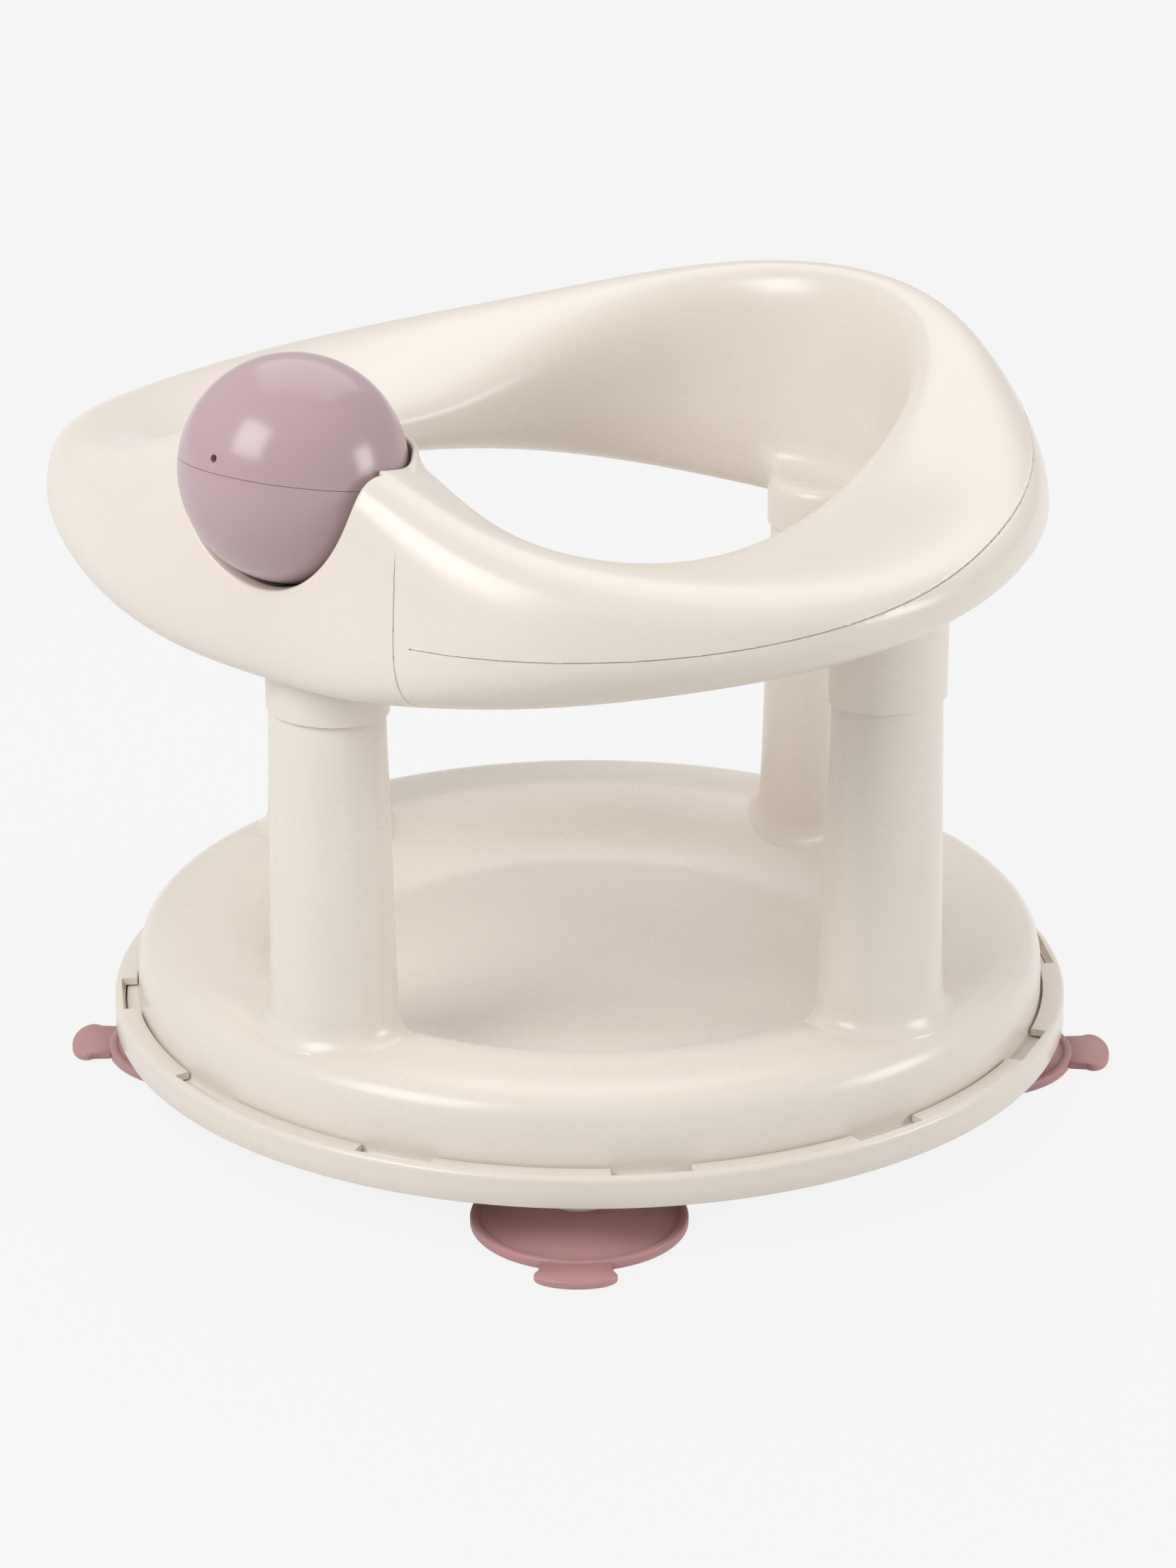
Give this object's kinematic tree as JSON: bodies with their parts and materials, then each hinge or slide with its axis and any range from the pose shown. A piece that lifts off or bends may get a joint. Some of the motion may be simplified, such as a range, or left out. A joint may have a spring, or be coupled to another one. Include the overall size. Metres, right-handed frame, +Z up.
{
  "type": "swivel baby bath seat",
  "caption": "Bath seat for a baby: a round pan that swivels on a suction-cup base, with upright posts carrying an egg-shaped ring, a raised backrest and a spinning play ball in front.",
  "frame": {"origin": "on the swivel axis, at the plane of the suction cup lips, where the seat stands on the bath", "axes": "+Z up along the swivel axis; -Y is the front, where the play ball is; +X is the seated child's left"},
  "size_m": [0.3566, 0.3516, 0.2922],
  "materials": {
    "cream_plastic": "satin moulded",
    "mauve_gloss": "polished",
    "soft_cup": "soft moulded",
    "glide_plastic": "plain",
    "steel": "stainless"
  },
  "bodies": {
    "base": {"base_plate": "cream_plastic", "retaining_rim": "cream_plastic", "suction_cup_1": "soft_cup", "suction_cup_2": "soft_cup", "suction_cup_3": "soft_cup", "suction_cup_4": "soft_cup", "glide_pads": "glide_plastic"},
    "seat": {"seat_pan": "cream_plastic", "post_front": "cream_plastic", "post_right": "cream_plastic", "post_back": "cream_plastic", "post_left": "cream_plastic", "foot_screws": "steel", "ring_lower_shell": "cream_plastic", "ring_upper_shell": "cream_plastic", "ring_screws": "steel", "ball_cradle": "cream_plastic", "front_cover": "cream_plastic", "ball_axle": "steel"},
    "ball": {"ball_upper_half": "mauve_gloss", "ball_lower_half": "mauve_gloss"}
  },
  "joints": [
    {"name": "seat_swivel", "type": "hinge", "parent": "base", "child": "seat", "pos_m": [0, 0, 0.03], "axis": [0, 0, 1], "continuous": true},
    {"name": "ball_spin", "type": "hinge", "parent": "seat", "child": "ball", "pos_m": [0, -0.1444, 0.255], "axis": [1, 0, 0], "continuous": true}
  ]
}
